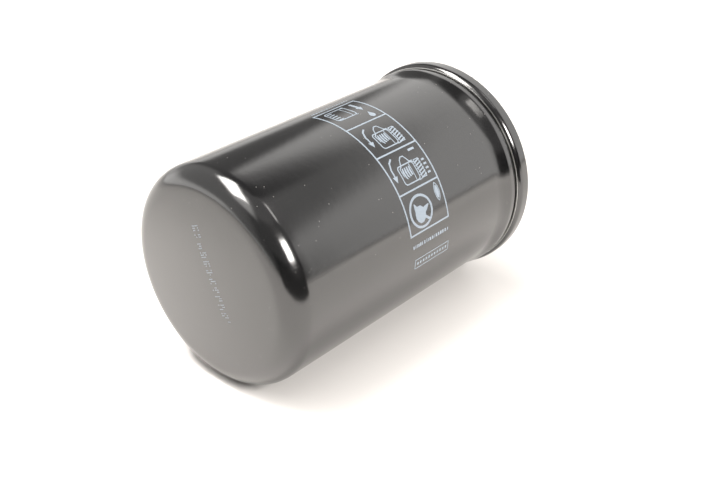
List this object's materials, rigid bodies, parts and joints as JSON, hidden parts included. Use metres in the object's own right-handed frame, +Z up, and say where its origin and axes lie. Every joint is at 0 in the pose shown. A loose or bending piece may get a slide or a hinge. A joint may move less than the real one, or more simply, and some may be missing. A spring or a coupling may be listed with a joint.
{
  "type": "oil filter",
  "caption": "Spin-on engine oil filter: a black domed steel can with a rolled seam, a rubber seating gasket, a threaded base plate and a pleated element inside.",
  "frame": {"origin": "on the filter's axis, at the mouth of the threaded neck in the base plate", "axes": "+X along the axis, out of the mounting end towards the engine; the domed end points to -X; +Z up as the filter lies on its side"},
  "size_m": [0.124, 0.0804, 0.0804],
  "materials": {
    "can_paint": "glossy black enamel",
    "print_ink": "pale printing ink",
    "lid_plate": "zinc plated, satin",
    "sealant": "cured sealing compound",
    "base_steel": "pressed steel with an oiled surface",
    "weld_steel": "spot-weld nuggets, heat tinted",
    "gasket_rubber": "nitrile rubber, lathe cut",
    "valve_rubber": "silicone rubber, moulded",
    "tinned_steel": "tinplate",
    "glue": "cured plastisol",
    "filter_paper": "resin-cured filter paper",
    "tube_steel": "rolled steel, perforated",
    "passivated_steel": "yellow passivated zinc",
    "spring_steel": "drawn spring wire, oiled"
  },
  "bodies": {
    "housing": {"can": "can_paint", "seaming_lid": "lid_plate", "seam_sealant": "sealant", "base_plate": "base_steel", "spot_welds": "weld_steel", "seating_gasket": "gasket_rubber", "drainback_hub": "valve_rubber", "element_spring": "spring_steel"},
    "valve_lip": {"drainback_lip": "valve_rubber"},
    "element": {"top_end_cap": "tinned_steel", "top_glue": "glue", "pleated_paper": "filter_paper", "paper_clip": "tinned_steel", "centre_tube": "tube_steel", "bottom_glue": "glue", "bottom_end_cap": "tinned_steel", "bypass_seat": "passivated_steel", "bypass_cage": "passivated_steel", "bypass_spring": "spring_steel"},
    "bypass_valve": {"bypass_disc": "tinned_steel", "bypass_seal": "gasket_rubber"}
  },
  "joints": [
    {"name": "drainback_lift", "type": "slide", "parent": "housing", "child": "valve_lip", "axis": [-1, 0, 0], "range_m": [0, 0.0018], "stiffness_N_per_m": 400, "springref_m": -0.001},
    {"name": "element_float", "type": "slide", "parent": "housing", "child": "element", "axis": [-1, 0, 0], "range_m": [0, 0.002], "stiffness_N_per_m": 12000, "springref_m": -0.006, "deforming": ["element_spring"]},
    {"name": "bypass_lift", "type": "slide", "parent": "element", "child": "bypass_valve", "axis": [1, 0, 0], "range_m": [0, 0.0035], "stiffness_N_per_m": 1800, "springref_m": -0.008, "deforming": ["bypass_spring"]}
  ]
}
